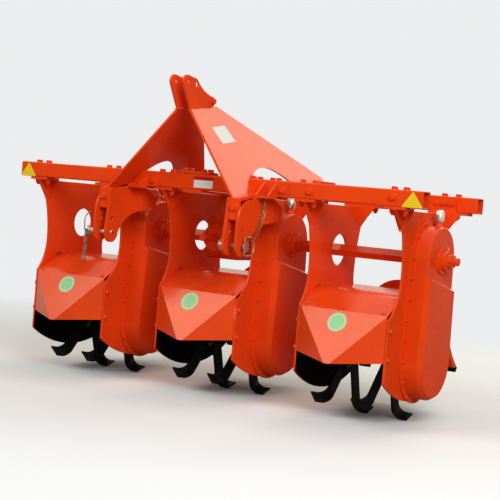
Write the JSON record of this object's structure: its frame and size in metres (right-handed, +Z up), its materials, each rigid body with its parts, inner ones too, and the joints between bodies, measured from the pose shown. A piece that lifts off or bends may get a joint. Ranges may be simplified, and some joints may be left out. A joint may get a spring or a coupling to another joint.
{
  "type": "mechanical weeder",
  "caption": "Inter-row rotary weeder for a three-point hitch: hooded rotor units with side chain drives hang from twin toolbars and share a cross drive shaft.",
  "frame": {"origin": "centre of the front top-link hole, on the hitch's centre plane", "axes": "+X to the machine's left-hand side as seen from the tractor seat looking back, along the toolbars; +Y rearwards, away from the tractor; +Z up"},
  "size_m": [2.144, 1.1001, 1.4194],
  "materials": {
    "paint": "gloss",
    "black_steel": "satin",
    "bright_steel": "satin"
  },
  "bodies": {
    "frame": {"breather_centre": "bright_steel", "breather_left": "bright_steel", "breather_right": "bright_steel", "chain_case_centre": "paint", "chain_case_left": "paint", "chain_case_right": "paint", "chain_plate_centre": "paint", "chain_plate_left": "paint", "chain_plate_right": "paint", "clevis_cross_bolt": "bright_steel", "front_toolbar": "paint", "gearbox": "paint", "gearbox_hanger": "paint", "hanger_clamp_front": "paint", "hanger_clamp_rear": "paint", "hitch_pin_left": "bright_steel", "hitch_pin_right": "bright_steel", "hood_centre": "paint", "hood_left": "paint", "hood_right": "paint", "lower_bracket_left": "paint", "lower_bracket_right": "paint", "pin_chain_left": "bright_steel", "pin_chain_right": "bright_steel", "pin_ring_left": "bright_steel", "pin_ring_right": "bright_steel", "rear_flap_centre": "paint", "rear_flap_left": "paint", "rear_flap_right": "paint", "rear_toolbar": "paint", "side_plate_centre": "paint", "side_plate_left": "paint", "side_plate_right": "paint", "top_clevis": "paint", "tower_plate_left": "paint", "tower_plate_right": "paint"},
    "drive": {"drive_shaft": "paint"},
    "input": {"input_shaft": "bright_steel"},
    "rotor_left": {"rotor_shaft_left": "black_steel", "rotor_blades_left": "black_steel"},
    "rotor_centre": {"rotor_shaft_centre": "black_steel", "rotor_blades_centre": "black_steel"},
    "rotor_right": {"rotor_shaft_right": "black_steel", "rotor_blades_right": "black_steel"}
  },
  "joints": [
    {"name": "rotor_centre_spin", "type": "hinge", "parent": "frame", "child": "rotor_centre", "pos_m": [0.0475, 0.512, -1.118], "axis": [1, 0, 0], "continuous": true},
    {"name": "rotor_left_spin", "type": "hinge", "parent": "frame", "child": "rotor_left", "pos_m": [-0.6825, 0.512, -1.118], "axis": [1, 0, 0], "continuous": true},
    {"name": "rotor_right_spin", "type": "hinge", "parent": "frame", "child": "rotor_right", "pos_m": [0.7775, 0.512, -1.118], "axis": [1, 0, 0], "continuous": true},
    {"name": "drive_spin", "type": "hinge", "parent": "frame", "child": "drive", "pos_m": [0, 0.512, -0.675], "axis": [1, 0, 0], "continuous": true},
    {"name": "input_spin", "type": "hinge", "parent": "frame", "child": "input", "pos_m": [0, 0.371, -0.675], "axis": [0, -1, 0], "continuous": true}
  ],
  "couplings": [
    {"joint": "rotor_left_spin", "follows": "rotor_centre_spin", "ratio": 1},
    {"joint": "rotor_right_spin", "follows": "rotor_centre_spin", "ratio": 1},
    {"joint": "drive_spin", "follows": "rotor_centre_spin", "ratio": 1.2},
    {"joint": "input_spin", "follows": "rotor_centre_spin", "ratio": 1.8}
  ]
}
